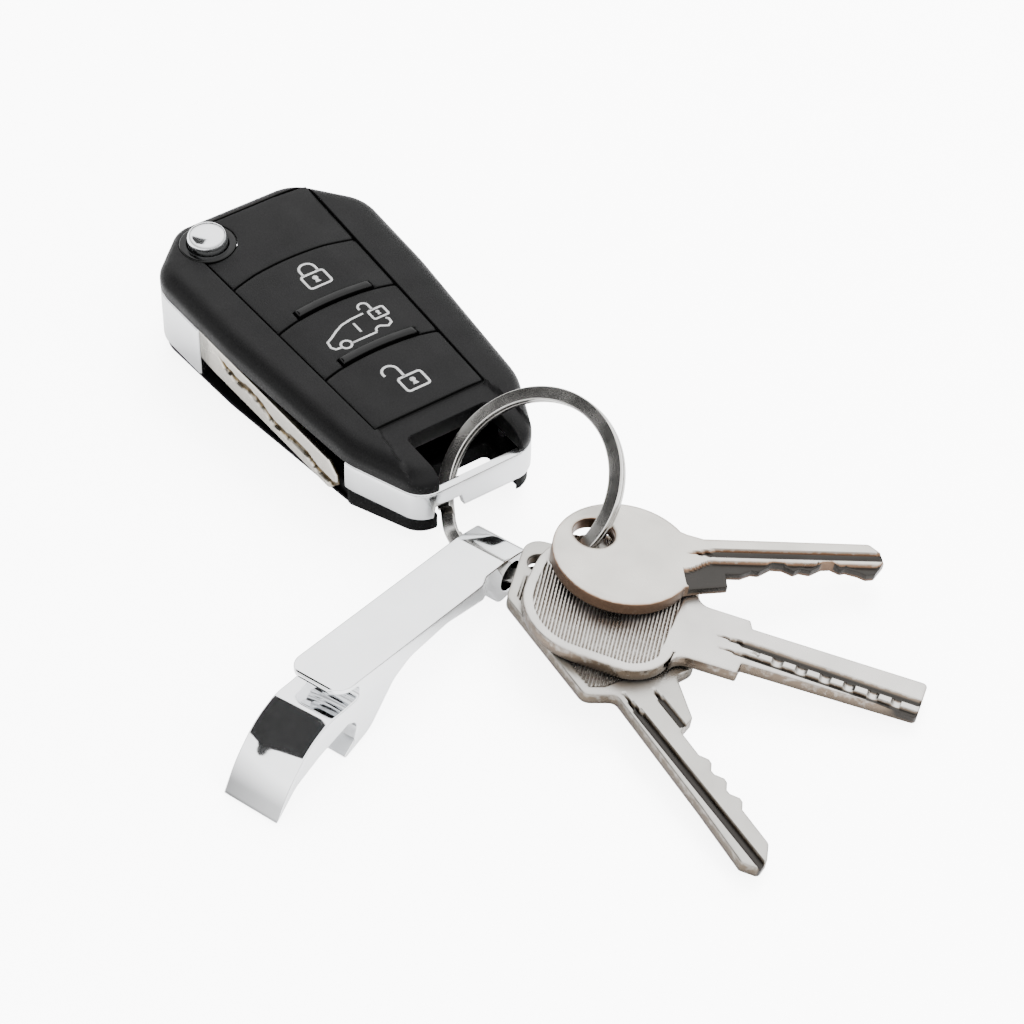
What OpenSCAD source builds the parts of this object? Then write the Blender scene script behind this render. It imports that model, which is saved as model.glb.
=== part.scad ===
// Pocket key organiser: a split ring that carries a belt clip with a bottle
// opener, a flip-key car remote and three cylinder-lock keys. Millimetres, +Z up.
// It lies on a table: X runs across, Y away from the person, origin under the middle.

/* [Split ring] */
// Outer radius of the ring
ring_r = 16.45; // [15.5:0.05:17]
// Radial width of the flat wire
ring_w = 2.3; // [1.8:0.1:2.6]
// Thickness of one coil
coil_t = 0.97; // [0.7:0.01:1.1]
// Gap between the two coils
coil_gap = 0.06; // [0.02:0.01:0.1]
// Compass turn of the ring's face
ring_turn = -44.2; // [-50:0.1:-38]
// Elevation of the ring's face above the table
ring_rise = 52.7; // [48:0.1:58]

/* [Car remote] */
// Button pitch along the remote
button_pitch = 14; // [12.5:0.1:14.5]
// Height of the upper cover's side
upper_h = 4.1; // [3.6:0.1:4.6]
// Height of the chrome band
band_h = 6; // [5.4:0.1:6.6]
// Thickness of the whole remote at the first cross line
remote_h = 16.7; // [16:0.1:17.6]
// Wall of the covers
cover_wall = 1.6; // [1.2:0.1:2]
// Wall of the chrome band
band_wall = 1.3; // [1:0.1:1.6]
// Half width of the button strip at the first cross line
strip_half = 12.4; // [11:0.1:13]
// Gap around the buttons
button_gap = 0.25; // [0.15:0.05:0.4]
// Travel of the buttons
button_travel = 0.6; // [0.4:0.1:0.8]
// Radius of the release button
release_r = 3.55; // [3:0.05:4]
// Travel of the release button
release_travel = 2.2; // [1.5:0.1:2.5]

/* [Flip blade] */
// Width of the flip blade
blade_w = 6.5; // [6:0.1:6.6]
// Thickness of the flip blade
blade_t = 2.3; // [1.8:0.1:2.6]
// Reach of the blade along the remote
blade_end = 41; // [36:0.5:42]
// Radius of the hub that the blade turns on
hub_r = 5.6; // [5:0.1:6]

/* [Belt clip and opener] */
// Width of the clip
clip_w = 10.6; // [10:0.1:11]
// Radius of the eye that rides on the ring
eye_r = 2.65; // [2.5:0.05:2.8]
// Reach from the eye to the tip
clip_reach = 61; // [56:0.5:64]

/* [Cylinder-lock keys] */
// Thickness of the keys
key_t = 2.3; // [2:0.05:2.4]
// Head radius of the round key
round_head_r = 11.5; // [10.5:0.1:12]
// Reach of the round key from its hole
round_reach = 48.5; // [44:0.5:52]
// Reach of the ribbed key from its hole
ribbed_reach = 60; // [55:0.5:64]
// Reach of the pointed key from its hole
pointed_reach = 66; // [62:0.5:70]

/* [Hidden] */
$fn = 64;
arc_steps = 6;
chrome = [0.86, 0.87, 0.88];
nickel = [0.78, 0.76, 0.70];
charcoal = [0.13, 0.13, 0.14];
gloss_black = [0.03, 0.03, 0.035];

// Where the assembly's middle lies in the layout that the parts are placed in
layout_shift = [-1.823, 6.208, -0.1];
ring_pos = [2.96, -6.3, 12.4];

// Remote: its frame starts at the first cross line on its top, +X to the ring end
remote_pos = [-37.5, 43.7, 17.4];
remote_turn = -55.4;
remote_tilt = 1.8;
taper = 3.4;
outline = [[-19.9, -12], [-11.5, -21], [10, -20.2], [43, -16.9], [56.6, -11.2],
    [56.6, 11.2], [43, 17.2], [10, 19.9], [-9, 20.4], [-19.9, 11.5]];
outline_r = [5, 7, 60, 14, 5, 5, 14, 60, 9, 8];
plate_start = -17;
strip_taper = 0.036;
strip_end = 3 * button_pitch;
slot_start = 46.2;
slot_low = -7.4;
slot_high = 8.6;
bar_in = 55.1;
// Notch under the crossbar that the ring passes through
relief = 2.5;
relief_low = -8.5;
relief_high = -2.9;
band_top = -upper_h;
band_low = -upper_h - band_h;
hinge = [-12.6, -9.8];
bay_start = 1.6;
bay_end = blade_end + 1.2;
bay_in = -15.9;
blade_out = -19.2;
blade_top = -6.2;
head_top = -4.5;
head_low = -15;
run = 0.3;

function unit(v) = v / norm(v);
function normal2(a, b) = unit([b[1] - a[1], a[0] - b[0]]);
// A polygon moved inwards by d
function inset(p, d) = [for (i = [0 : len(p) - 1])
    let (n = len(p), a = normal2(p[(i + n - 1) % n], p[i]), b = normal2(p[i], p[(i + 1) % n]))
    p[i] - d * (a + b) / (1 + a * b)];
// A polygon with each corner rounded by its own radius
function rounded(p, r) = [for (i = [0 : len(p) - 1])
    let (n = len(p), u = unit(p[(i + n - 1) % n] - p[i]), v = unit(p[(i + 1) % n] - p[i]),
        half = acos(u * v) / 2, reach = r[i] / tan(half),
        c = p[i] + unit(u + v) * r[i] / sin(half),
        a0 = atan2((p[i] + u * reach - c)[1], (p[i] + u * reach - c)[0]),
        a1 = atan2((p[i] + v * reach - c)[1], (p[i] + v * reach - c)[0]),
        turn = (a1 - a0 + 540) % 360 - 180)
    for (k = [0 : arc_steps]) c + r[i] * [cos(a0 + turn * k / arc_steps), sin(a0 + turn * k / arc_steps)]];
function strip_half_at(x) = strip_half - strip_taper * x;

module at_ring() {
    translate(ring_pos + layout_shift) rotate([0, 0, ring_turn]) rotate([90 - ring_rise, 0, 0])
        children();
}
module at_remote() {
    translate(remote_pos + layout_shift) rotate([0, remote_tilt, remote_turn]) children();
}
// A slab of the remote between two heights, inset by d from its outline
module remote_slab(low, high, d = 0) {
    translate([0, 0, low]) linear_extrude(high - low)
        polygon(rounded(inset(outline, d), [for (r = outline_r) r > 30 ? r : max(r - d, 0.8)]));
}
// Everything below the remote's flat, tapering underside
module below_underside() {
    translate([0, 0, -remote_h]) rotate([0, -taper, 0]) translate([-60, -60, -30])
        cube([160, 120, 30]);
}
// A tapering piece of the button strip between two cross lines
module strip_piece(x0, x1, low, high, gap = 0) {
    y0 = strip_half_at(x0) - gap;
    y1 = strip_half_at(x1) - gap;
    translate([0, 0, low]) linear_extrude(high - low)
        polygon([[x0 + gap, -y0], [x1 - gap, -y1], [x1 - gap, y1], [x0 + gap, y0]]);
}
// The room that the blade's head sweeps as it swings out round the hinge corner
module head_sweep(low, high, grow) {
    translate([hinge[0], hinge[1], low]) difference() {
        cylinder(r = 18.6 + grow, h = high - low);
        rotate([0, 0, -36.3]) translate([-40, hub_r + grow, -1]) cube([80, 40, high - low + 2]);
    }
}
module blade_bay() {
    translate([bay_start - 1, -40, -remote_h + 1.3]) rotate([0, -taper, 0])
        cube([bay_end - bay_start + 1, 40 + bay_in, 30]);
}

module split_ring() {
    color(nickel) at_ring() for (side = [-1, 1])
        translate([0, 0, side * (coil_t + coil_gap) / 2 - coil_t / 2]) difference() {
            cylinder(r = ring_r, h = coil_t, $fn = 96);
            translate([0, 0, -1]) cylinder(r = ring_r - ring_w, h = coil_t + 2, $fn = 96);
            if (side == 1) rotate([0, 0, 200]) translate([ring_r - ring_w - 1, 0, -1])
                cube([ring_w + 2, 0.3, coil_t + 2]);
        }
}

// Belt clip: one cast profile with an eye, a spring strap and a bottle mouth
clip_pos = [-3.9, -15.9, 0];
clip_turn = -126.6;
eye_z = 3.8;
eye_wall = 1.05;
eye_half = 4.9;
stretch = clip_reach / 58.5;
clip_profile = [[-4.3, eye_z - eye_r - eye_wall], [3.4, eye_z - eye_r - eye_wall], [6, 5.2], [17.5, 8.4],
    [26.5, 8.8], [30.5, 7.4], [36.5, 1.6], [43.3, 0], [40.2, 2], [39, 5.6], [41.5, 7], [48, 5.9],
    [53.5, 4.2], [58.5, 0], [55.4, 5], [50.5, 9.6], [45.5, 11.3], [42.5, 10.9], [38.4, 10.6],
    [38.4, 13.2], [43, 13.9], [43.2, 15.1], [2, 8.5], [-4.3, 6.8]];
clip_radii = [3.2, 2, 2, 8, 6, 5, 6, 0.2, 2, 2, 0.9, 3, 5, 0.1, 5, 6, 0.8, 0.8, 1.2, 1.2, 0.4, 0.5, 3, 1.5];
strap_corner = 2.8;
module clip_opener() {
    color(chrome) translate(clip_pos + layout_shift) rotate([0, 0, clip_turn]) difference() {
        translate([0, clip_w - eye_half, 0]) rotate([90, 0, 0]) linear_extrude(clip_w)
            polygon(rounded([for (p = clip_profile) p[0] > 6 ? [6 + (p[0] - 6) * stretch, p[1]] : p],
                clip_radii));
        translate([0, 0, eye_z]) rotate([90, 0, 0]) cylinder(r = eye_r, h = 2 * clip_w, center = true);
        translate([-9, eye_half, -1]) cube([15, 5, 20]);
        strap_corner_cut(-eye_half, -1);
        strap_corner_cut(clip_w - eye_half, 1);
    }
}
// Rounds one corner of the strap's free end as seen from above
module strap_corner_cut(edge, side) {
    x = 6 + 37.2 * stretch - strap_corner;
    translate([x, edge - side * strap_corner, 12.4]) difference() {
        translate([0, side > 0 ? 0 : -5, 0]) cube([5, 5, 5]);
        translate([0, 0, -1]) cylinder(r = strap_corner, h = 7);
    }
}

// Keys: each frame starts on the ring's line at mid thickness, +X to the tip
round_place = [[12, -19.22, 11.69], [0, 8.74, 6.71]];
ribbed_place = [[9.05, -20.5, 9.18], [-1.65, 6.94, -19.22]];
pointed_place = [[4.93, -20.83, 7.27], [-5.75, 4.88, -57.92]];
module at_key(place) {
    translate(place[0] + layout_shift) rotate(place[1]) translate([0, 0, -key_t / 2]) children();
}
// A milled warding groove along the top face
module groove(x0, x1, y, width, depth) {
    translate([x0, y - width / 2, key_t - depth]) cube([x1 - x0, width, depth + 1]);
}
round_head = [5.3, -3.1];
round_hole = [1.1, 1.35];
round_hole_r = 3.4;
round_edge = 0.5;
round_cuts = [[24.1, 6.9], [26, 5.4], [27.2, 5.7], [29.5, 3.2], [31.4, 3.4], [33, 5.2], [34.1, 4.2],
    [35.8, 4.9], [38, 2.7], [39.5, 2.5], [40.9, 4.2], [41.8, 3.7], [43.8, 4.9], [45, 6.1], [46.4, 5.8]];
module round_key() {
    color(nickel) at_key(round_place) difference() {
        union() {
            translate([round_head[0], round_head[1], 0]) cylinder(r = round_head_r, h = key_t);
            linear_extrude(key_t) polygon(concat([[12, 4.4], [16.4, 1.7], [19, 0.7],
                [round_reach - 2, round_edge], [round_reach, -1.9], [round_reach, -3.1]],
                [for (i = [len(round_cuts) - 1 : -1 : 0]) [round_cuts[i][0], round_edge - round_cuts[i][1]]],
                [[21.6, -6.4], [21.4, -9.3], [15.6, -10], [12, -11]]));
        }
        translate([round_hole[0], round_hole[1], -1]) cylinder(r = round_hole_r, h = key_t + 2);
        groove(15.5, round_reach + 1, -2.6, 1.7, 0.8);
    }
}
ribbed_hole = [0.55, 1.4];
ribbed_hole_r = 3.8;
module ribbed_key() {
    color(nickel) at_key(ribbed_place) difference() {
        linear_extrude(key_t) polygon(rounded([[-4.5, -19.6], [21.4, -19.6], [21.4, -12.9], [31.7, -12.5],
            [31.8, -10.2], [ribbed_reach, -8.8], [ribbed_reach, -1.6], [31.4, -2.4], [30.6, -0.8],
            [21.4, -1], [21.4, 7.6], [-4.5, 7.6]], [11.5, 7, 2.5, 0.4, 0.3, 0.8, 0.8, 0.3, 0.4, 2.5, 7, 11.5]));
        translate([ribbed_hole[0], ribbed_hole[1], -1]) cylinder(r = ribbed_hole_r, h = key_t + 2);
        groove(26.5, ribbed_reach + 1, -6.1, 1.2, 0.7);
        groove(26.5, ribbed_reach + 1, -8.2, 1.3, 0.7);
    }
}
pointed_slot = [[-0.7, -0.3], [1.25, 4.1]];
pointed_slot_r = 1.95;
pointed_bumps = [53.9, 49.7, 45.5];
module pointed_key() {
    run_between = pointed_slot[1] - pointed_slot[0];
    color(nickel) at_key(pointed_place) difference() {
        linear_extrude(key_t) polygon(rounded(concat([[-6.6, 1], [3.2, -9.1], [25.8, -9.1], [28, -4.6],
            [52, -5.3], [pointed_reach - 2.4, -5.9], [pointed_reach, -4], [pointed_reach - 1, -2],
            [pointed_reach - 3.4, 0]],
            [for (x = pointed_bumps, p = [[1.6, 0.2], [0.4, 1.1], [-0.4, 1.2], [-1.8, 0.25]]) [x + p[0], p[1]]],
            [[38.6, 0.4], [37.2, 3.6], [29, 6.2], [28.6, 10.9], [3.4, 10.9]]),
            concat([3, 2.5, 2, 1.5, 30, 0.8, 0.8, 0.6, 1.5], [for (i = [1 : 12]) 0.2], [0.6, 0.8, 1.2, 2.5, 2.5])));
        for (p = pointed_slot) translate([p[0], p[1], -1]) cylinder(r = pointed_slot_r, h = key_t + 2);
        translate([pointed_slot[0][0], pointed_slot[0][1], -1])
            rotate([0, 0, atan2(run_between[1], run_between[0])]) translate([0, -pointed_slot_r, 0])
            cube([norm(run_between), 2 * pointed_slot_r, key_t + 2]);
        groove(29, pointed_reach + 1, -3.2, 1.6, 0.8);
    }
}

// The hollow inside the remote, clear of the blade bay and the ring slot
module cavity(low, high, wall) {
    difference() {
        remote_slab(low, high, wall);
        translate([-50, -60 + bay_in + 1.4, low - 1]) cube([120, 60, high - low + 2]);
        translate([slot_start - 1.4, -12.6, low - 1]) cube([30, 26.2, high - low + 2]);
    }
}
// The ring's slot cut right out through the end of a cover
module open_slot() {
    translate([slot_start, slot_low, -30]) cube([30, slot_high - slot_low, 40]);
}
module upper_cover() {
    color(charcoal) at_remote() difference() {
        union() {
            remote_slab(band_top, -1.6);
            remote_slab(band_top, -0.6, 0.8);
            remote_slab(band_top, 0, 1.9);
        }
        cavity(band_top - 1, -1.5, cover_wall);
        strip_piece(plate_start - button_gap, strip_end, -3, 1, -0.1);
        translate([hinge[0], hinge[1], -10]) cylinder(r = 5.05, h = 20);
        open_slot();
        for (p = screw_spots) translate([p[0], p[1], band_top - 1]) cylinder(r = 1, h = 3);
    }
}
screw_spots = [[46, -11.3], [46, 12.3]];
screw_head_r = 1.9;
module lower_cover() {
    color(charcoal) at_remote() difference() {
        union() {
            difference() {
                remote_slab(-25, band_low, 0.5);
                below_underside();
                cavity(-25 + 1, band_low + 1, cover_wall + 0.5);
            }
            difference() {
                remote_slab(-25, -12.9, 0.6);
                below_underside();
                translate([0, 0, 1.5 - remote_h]) rotate([0, -taper, 0]) translate([-60, -60, 0])
                    cube([160, 120, 30]);
            }
            translate([hinge[0], hinge[1], -17]) cylinder(r = 2.5, h = 7);
            for (p = screw_spots) translate([p[0], p[1], -13.4]) cylinder(r = 2.2, h = 13.4 + band_low);
        }
        blade_bay();
        head_sweep_but_post();
        open_slot();
        translate([24, 0, -30]) cylinder(r = 11.1, h = 17);
        for (p = screw_spots) translate([p[0], p[1], -30]) {
            cylinder(r = 1.05, h = 25);
            cylinder(r = screw_head_r + 0.1, h = 17.2);
        }
    }
}
module head_sweep_but_post() {
    difference() {
        head_sweep(-15.6, -4.2, run);
        translate([hinge[0], hinge[1], -30]) cylinder(r = 2.5, h = 30);
    }
}
module battery_hatch() {
    color(charcoal) at_remote() difference() {
        translate([24, 0, -20]) cylinder(r = 11, h = 6.4);
        below_underside();
        translate([24, 0, -30]) translate([-4, -0.6, 0]) cube([8, 1.2, 15.1]);
    }
}
module chrome_band() {
    color(chrome) at_remote() difference() {
        remote_slab(band_low, band_top);
        difference() {
            remote_slab(band_low - 1, band_top + 1, band_wall);
            translate([bar_in, slot_low - 2, band_low - 2]) cube([10, slot_high - slot_low + 4, 20]);
        }
        blade_bay();
        head_sweep(-15.6, -4.2, run);
        translate([bar_in - 2, relief_low, band_low - 1]) cube([10, relief_high - relief_low, 1 + relief]);
    }
}
module top_plate() {
    color(charcoal) at_remote() difference() {
        strip_piece(plate_start, 0, -1.5, 0.05, button_gap / 2);
        translate([hinge[0], hinge[1], -10]) cylinder(r = 5.05, h = 20);
        translate([hinge[0] - 10, hinge[1] - 10, -10]) cube([10, 10, 20]);
    }
}
bar_low = -6.8;
bar_high = 7.9;
bar_len = 1.8;
module button(index) {
    color(charcoal) at_remote() difference() {
        strip_piece(index * button_pitch, (index + 1) * button_pitch, -1.4, 0.1, button_gap);
        if (index < 2) translate([(index + 1) * button_pitch - bar_len - 0.6, bar_low - 0.2, -3])
            cube([bar_len + 3, bar_high - bar_low + 0.4, 6]);
    }
}
module lock_button() { button(0); }
module boot_button() { button(1); }
module unlock_button() { button(2); }
module button_dividers() {
    color(gloss_black) at_remote() for (i = [1, 2])
        translate([i * button_pitch - bar_len - 0.35, bar_low, -2.1]) cube([bar_len, bar_high - bar_low, 2.8]);
}
module release_button() {
    color(chrome) at_remote() translate([hinge[0], hinge[1], 0]) difference() {
        union() {
            translate([0, 0, -4]) cylinder(r = release_r, h = 6);
            translate([0, 0, 2]) cylinder(r1 = release_r, r2 = release_r - 1.2, h = 0.9);
        }
        translate([0, 0, -5]) cylinder(r = 2.8, h = 6);
    }
}
module release_collar() {
    color(gloss_black) at_remote() translate([hinge[0], hinge[1], -4.1]) difference() {
        cylinder(r = 5, h = 4.5);
        translate([0, 0, -1]) cylinder(r = release_r + 0.1, h = 7);
    }
}
module blade_box(grow = 0) {
    translate([-9.5, blade_out - grow, blade_top - blade_w - grow])
        cube([blade_end + 9.5, blade_t + 2 * grow, blade_w + 2 * grow]);
}
pin_x = -5.5;
module blade_head() {
    color(chrome) at_remote() difference() {
        union() {
            translate([hinge[0], hinge[1], head_low]) cylinder(r = hub_r, h = head_top - head_low);
            intersection() {
                remote_slab(head_low, head_top);
                head_sweep(head_low, head_top, -0.2);
                translate([0, 0, head_low - 1]) linear_extrude(20)
                    polygon([[-30, -10], [-30, -30], [bay_start - run, -30], [bay_start - run, -16.2],
                        [-6, -16.2], [-9, -8], [-15, -6]]);
            }
        }
        blade_box(0.02);
        translate([hinge[0], hinge[1], -9]) cylinder(r = 4.1, h = 10);
        translate([hinge[0], hinge[1], head_low - 1]) cylinder(r = 2.56, h = -8.8 - head_low);
        translate([pin_x, blade_out + blade_t / 2, -16]) cylinder(r = 0.8, h = 14);
    }
}
module flip_blade() {
    color(nickel) at_remote() difference() {
        blade_box();
        translate([blade_end - 2.6, blade_out - 1, blade_top + 0.1]) rotate([0, 40, 0]) cube([9, 5, 5]);
        for (x = [4 : 5 : 34]) translate([x, blade_out - 1, blade_top - 3.1 - (x % 2) * 0.9])
            cube([4.4, 1.7, 1.6]);
        translate([pin_x, blade_out + blade_t / 2, -16]) cylinder(r = 0.8, h = 14);
    }
}
module blade_pin() {
    color(nickel) at_remote() translate([pin_x, blade_out + blade_t / 2, head_low + 0.3])
        cylinder(r = 0.8, h = head_top - head_low - 0.6);
}
// A round wire wound into a helix, swept as one closed polyhedron
spring_turns = 4;
spring_sides = 8;
module hinge_spring() {
    wire = 0.35;
    rings = spring_turns * 16;
    pts = [for (i = [0 : rings]) let (a = 360 * i / 16, z = -8.5 + 6.2 * i / rings)
        for (k = [0 : spring_sides - 1]) let (b = 360 * k / spring_sides)
        [(2.1 + wire * cos(b)) * cos(a), (2.1 + wire * cos(b)) * sin(a), z + wire * sin(b)]];
    sides = [for (i = [0 : rings - 1]) for (k = [0 : spring_sides - 1])
        let (n = spring_sides, a = i * n + k, b = i * n + (k + 1) % n) [b, b + n, a + n, a]];
    ends = [[for (k = [spring_sides - 1 : -1 : 0]) k],
        [for (k = [0 : spring_sides - 1]) rings * spring_sides + k]];
    color(nickel) at_remote() translate([hinge[0], hinge[1], 0]) polyhedron(pts, concat(sides, ends), 4);
}
module circuit_board() {
    color("darkgreen") at_remote() translate([3, -12.5, -4.8]) cube([40, 26, 1]);
}
cell_pos = [24, 0];
module coin_cell() {
    color(nickel) at_remote() translate([cell_pos[0], cell_pos[1], -9.6]) {
        cylinder(r = 10, h = 2.4);
        translate([0, 0, 2.4]) cylinder(r = 9, h = 0.8);
    }
}
module battery_contacts() {
    color(nickel) at_remote() {
        translate([22, -3, -6.4]) cube([4, 6, 1.6]);
        translate([22, 10.05, -9.4]) cube([4, 0.5, 4.6]);
    }
}
module micro_switches() {
    color("silver") at_remote() for (i = [0 : 2]) translate([(i + 0.5) * button_pitch - 2.25, -2.25, -3.8])
        cube([4.5, 4.5, 0.9]);
}
module transponder_chip() {
    color(gloss_black) at_remote() translate([4, 9, -8]) cube([6, 3.1, 3.2]);
}
module button_membrane() {
    color("dimgray") at_remote() strip_piece(0.4, strip_end, -2.9, -2.1);
}
module case_screws() {
    color(nickel) at_remote() for (p = screw_spots) translate([p[0], p[1], 0]) difference() {
        union() {
            translate([0, 0, -12.8 - 1.2]) cylinder(r = screw_head_r, h = 1.2);
            translate([0, 0, -13]) cylinder(r = 0.95, h = 10);
        }
        translate([-2, -0.25, -14.5]) cube([4, 0.5, 1]);
    }
}

split_ring();
clip_opener();
round_key();
ribbed_key();
pointed_key();
upper_cover();
lower_cover();
chrome_band();
top_plate();
lock_button();
boot_button();
unlock_button();
button_dividers();
release_button();
release_collar();
blade_head();
flip_blade();
blade_pin();
hinge_spring();
circuit_board();
coin_cell();
battery_contacts();
micro_switches();
transponder_chip();
button_membrane();
case_screws();
battery_hatch();
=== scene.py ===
# %% [markdown]
# # A pocket key organiser
# The object is a bunch: a split ring, a chromed belt clip that is also a bottle opener, a car remote
# with a folding blade, and three house keys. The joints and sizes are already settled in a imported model,
# so this script only dresses it: every new piece is put where that model says and rides on its body.

# %% Load the frame
import math
import bpy
import numpy as np
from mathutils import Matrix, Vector
from mathutils.geometry import delaunay_2d_cdt


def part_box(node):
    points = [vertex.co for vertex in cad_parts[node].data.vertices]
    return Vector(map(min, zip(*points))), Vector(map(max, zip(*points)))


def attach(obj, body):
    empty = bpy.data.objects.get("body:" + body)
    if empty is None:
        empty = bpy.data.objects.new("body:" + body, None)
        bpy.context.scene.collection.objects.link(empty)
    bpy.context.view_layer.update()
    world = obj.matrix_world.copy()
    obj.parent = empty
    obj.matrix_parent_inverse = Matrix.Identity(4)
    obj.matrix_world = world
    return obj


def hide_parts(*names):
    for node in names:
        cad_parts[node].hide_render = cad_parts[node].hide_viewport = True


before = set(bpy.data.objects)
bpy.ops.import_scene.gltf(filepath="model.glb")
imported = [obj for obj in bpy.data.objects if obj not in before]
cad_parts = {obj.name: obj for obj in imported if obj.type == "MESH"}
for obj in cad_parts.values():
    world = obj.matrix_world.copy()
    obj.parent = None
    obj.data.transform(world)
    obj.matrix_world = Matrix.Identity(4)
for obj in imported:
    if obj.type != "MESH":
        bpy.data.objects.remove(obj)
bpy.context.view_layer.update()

MM = 0.001

# %% [markdown]
# Each part lies at its own slant on the table, so it is drawn flat in its own axes and turned into place
# by a 3 x 3 matrix. The ring's middle comes from the frame, and the others are measured from it.

# %% Places of the parts
def turned(roll, pitch, heading):
    """The matrix that rolls about X, then pitches about Y, then turns about Z, all in degrees."""
    (ca, sa), (cb, sb), (cc, sc) = [(math.cos(math.radians(v)), math.sin(math.radians(v)))
                                    for v in (roll, pitch, heading)]
    about_x = np.array([[1, 0, 0], [0, ca, -sa], [0, sa, ca]])
    about_y = np.array([[cb, 0, sb], [0, 1, 0], [-sb, 0, cb]])
    about_z = np.array([[cc, -sc, 0], [sc, cc, 0], [0, 0, 1]])
    return about_z @ about_y @ about_x


def middle(node):
    """Middle of a node's box, in millimetres."""
    low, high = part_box(node)
    return (np.array(low) + np.array(high)) / 2 / MM


ring_middle = middle("split_ring")
table_point = ring_middle - [2.96, -6.3, 12.4]
ring_place = (turned(0, 0, -44.2) @ turned(90 - 52.7, 0, 0), ring_middle)
remote_place = (turned(0, 1.8, -55.4), table_point + [-37.5, 43.7, 17.4])
clip_place = (turned(0, 0, -126.6), table_point + [-3.9, -15.9, 0])
key_thick = 2.3


def key_place(turn, point):
    """A key's frame: its numbers are for the middle of the key's thickness, its origin is underneath."""
    return turn, table_point + point - turn[:, 2] * key_thick / 2


round_place = key_place(turned(0, 8.74, 6.71), [12, -19.22, 11.69])
ribbed_place = key_place(turned(-1.65, 6.94, -19.22), [9.05, -20.5, 9.18])
pointed_place = key_place(turned(-5.75, 4.88, -57.92), [4.93, -20.83, 7.27])
print("ring middle", ring_middle.round(2))

# %% [markdown]
# Almost every piece here is a plate, a moulding or a casting that is flat one way and has an outline the
# other way. So one helper makes them all: it fills an outline with points, lifts each point by a formula
# of its place and of its distance from the edge, and closes the sides. The formula is where ribs, grooves,
# rims and rounded edges come from.

# %% Outlines
def rounded(points, radii, steps=10):
    """A closed outline whose corner i is an arc of radius radii[i], tangent to both of its sides."""
    p = np.array(points, float)
    r = np.broadcast_to(np.array(radii, float), len(p))
    before, after = np.roll(p, 1, 0) - p, np.roll(p, -1, 0) - p
    u = before / np.linalg.norm(before, axis=1)[:, None]
    v = after / np.linalg.norm(after, axis=1)[:, None]
    half = np.arccos(np.clip((u * v).sum(1), -1, 1)) / 2
    centre = p + (u + v) / np.linalg.norm(u + v, axis=1)[:, None] * (r / np.sin(half))[:, None]
    first = p + u * (r / np.tan(half))[:, None] - centre
    last = p + v * (r / np.tan(half))[:, None] - centre
    a0 = np.arctan2(first[:, 1], first[:, 0])
    turn = (np.arctan2(last[:, 1], last[:, 0]) - a0 + 3 * np.pi) % (2 * np.pi) - np.pi
    angle = a0[:, None] + turn[:, None] * np.linspace(0, 1, steps + 1)
    arc = centre[:, None] + r[:, None, None] * np.stack([np.cos(angle), np.sin(angle)], 2)
    return arc.reshape(-1, 2)


def arc(x, y, r, start, end, count=40):
    """Points on a circle about (x, y), from one angle to another, in degrees."""
    a = np.radians(np.linspace(start, end, count))
    return np.stack([x + r * np.cos(a), y + r * np.sin(a)], 1)


def dense(loop, step):
    """The outline with extra points, so that no side is longer than step."""
    side = np.roll(loop, -1, 0) - loop
    parts = np.maximum(1, np.ceil(np.linalg.norm(side, axis=1) / step)).astype(int)
    owner = np.repeat(np.arange(len(loop)), parts)
    fraction = (np.arange(len(owner)) - np.repeat(np.cumsum(parts) - parts, parts)) / parts[owner]
    return loop[owner] + side[owner] * fraction[:, None]


def inside_distance(points, loops):
    """Distance from each point to the nearest outline, negative where the point is outside."""
    a = np.concatenate(loops)
    b = np.concatenate([np.roll(l, -1, 0) for l in loops])
    result = np.empty(len(points))
    for start in range(0, len(points), 4000):
        p = points[start:start + 4000, None]
        along = ((p - a) * (b - a)).sum(2) / ((b - a) ** 2).sum(1)
        gap = p - a - np.clip(along, 0, 1)[..., None] * (b - a)
        near = np.sqrt((gap ** 2).sum(2).min(1))
        cross = ((a[:, 1] > p[..., 1]) != (b[:, 1] > p[..., 1])) & (
            p[..., 0] < (b[:, 0] - a[:, 0]) * (p[..., 1] - a[:, 1])
            / np.where(b[:, 1] == a[:, 1], 1e-9, b[:, 1] - a[:, 1]) + a[:, 0])
        result[start:start + 4000] = np.where(cross.sum(1) % 2 == 1, near, -near)
    return result


# %% Plates
def smooth_step(x, start, end):
    """0 before start, 1 after end, and a smooth S between."""
    t = np.clip((x - start) / (end - start), 0, 1)
    return t * t * (3 - 2 * t)


def make_mesh(name, points, faces, sharp=35):
    """A smooth-shaded object from points in metres, with edges over sharp degrees kept crisp."""
    mesh = bpy.data.meshes.new(name)
    mesh.from_pydata(points.tolist(), [], faces)
    mesh.validate()
    mesh.shade_smooth()
    mesh.set_sharp_from_angle(angle=math.radians(sharp))
    piece = bpy.data.objects.new(name, mesh)
    bpy.context.collection.objects.link(piece)
    return piece


def keep_wear_and_shade(piece, values):
    """Stores a value from 0 to 1 at each point, for the finishes to read: real brown wear where it is low, painted
    shade where it is high.
    """
    values = values.astype(np.float32)
    piece.data.attributes.new("wear", "FLOAT", "POINT").data.foreach_set("value", values)


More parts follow.
